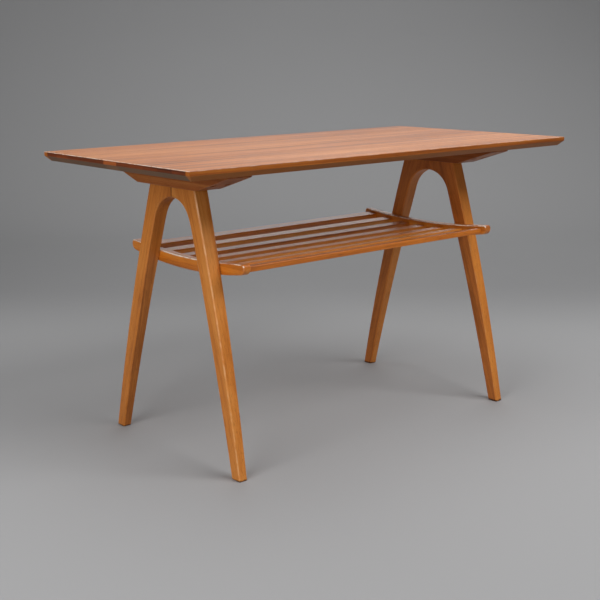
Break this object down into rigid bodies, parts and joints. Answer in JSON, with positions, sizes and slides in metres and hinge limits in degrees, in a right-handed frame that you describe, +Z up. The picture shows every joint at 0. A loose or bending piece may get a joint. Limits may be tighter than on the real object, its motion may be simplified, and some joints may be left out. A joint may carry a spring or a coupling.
{
  "type": "magazine table",
  "caption": "Low oblong wooden table with an under-bevelled top on two splayed, arched leg frames, and a dished slatted magazine rack hung between the frames.",
  "frame": {"origin": "on the floor under the middle of the table", "axes": "+X along the table's length, +Y across its width, +Z up"},
  "size_m": [1, 0.487, 0.582],
  "materials": {
    "teak_veneer": "satin",
    "core_board": "bare",
    "teak_lipping": "satin",
    "teak_bearer": "satin",
    "teak_leg": "satin",
    "teak_rack": "satin",
    "tenon_beech": "bare",
    "screw_steel": "dulled"
  },
  "bodies": {
    "root": {"top_face_veneer": "teak_veneer", "top_back_veneer": "teak_veneer", "top_core": "core_board", "lipping_front": "teak_lipping", "lipping_back": "teak_lipping", "lipping_left": "teak_lipping", "lipping_right": "teak_lipping", "bearer_left": "teak_bearer", "bearer_right": "teak_bearer", "leg_left_front": "teak_leg", "leg_left_back": "teak_leg", "leg_right_front": "teak_leg", "leg_right_back": "teak_leg", "rail_left": "teak_rack", "rail_right": "teak_rack", "slat_1": "teak_rack", "slat_2": "teak_rack", "slat_3": "teak_rack", "slat_4": "teak_rack", "slat_5": "teak_rack", "slat_6": "teak_rack", "slat_7": "teak_rack", "arch_tenons": "tenon_beech", "bearer_tenons": "tenon_beech", "rail_tenons": "tenon_beech", "top_screws": "screw_steel"}
  },
  "joints": []
}
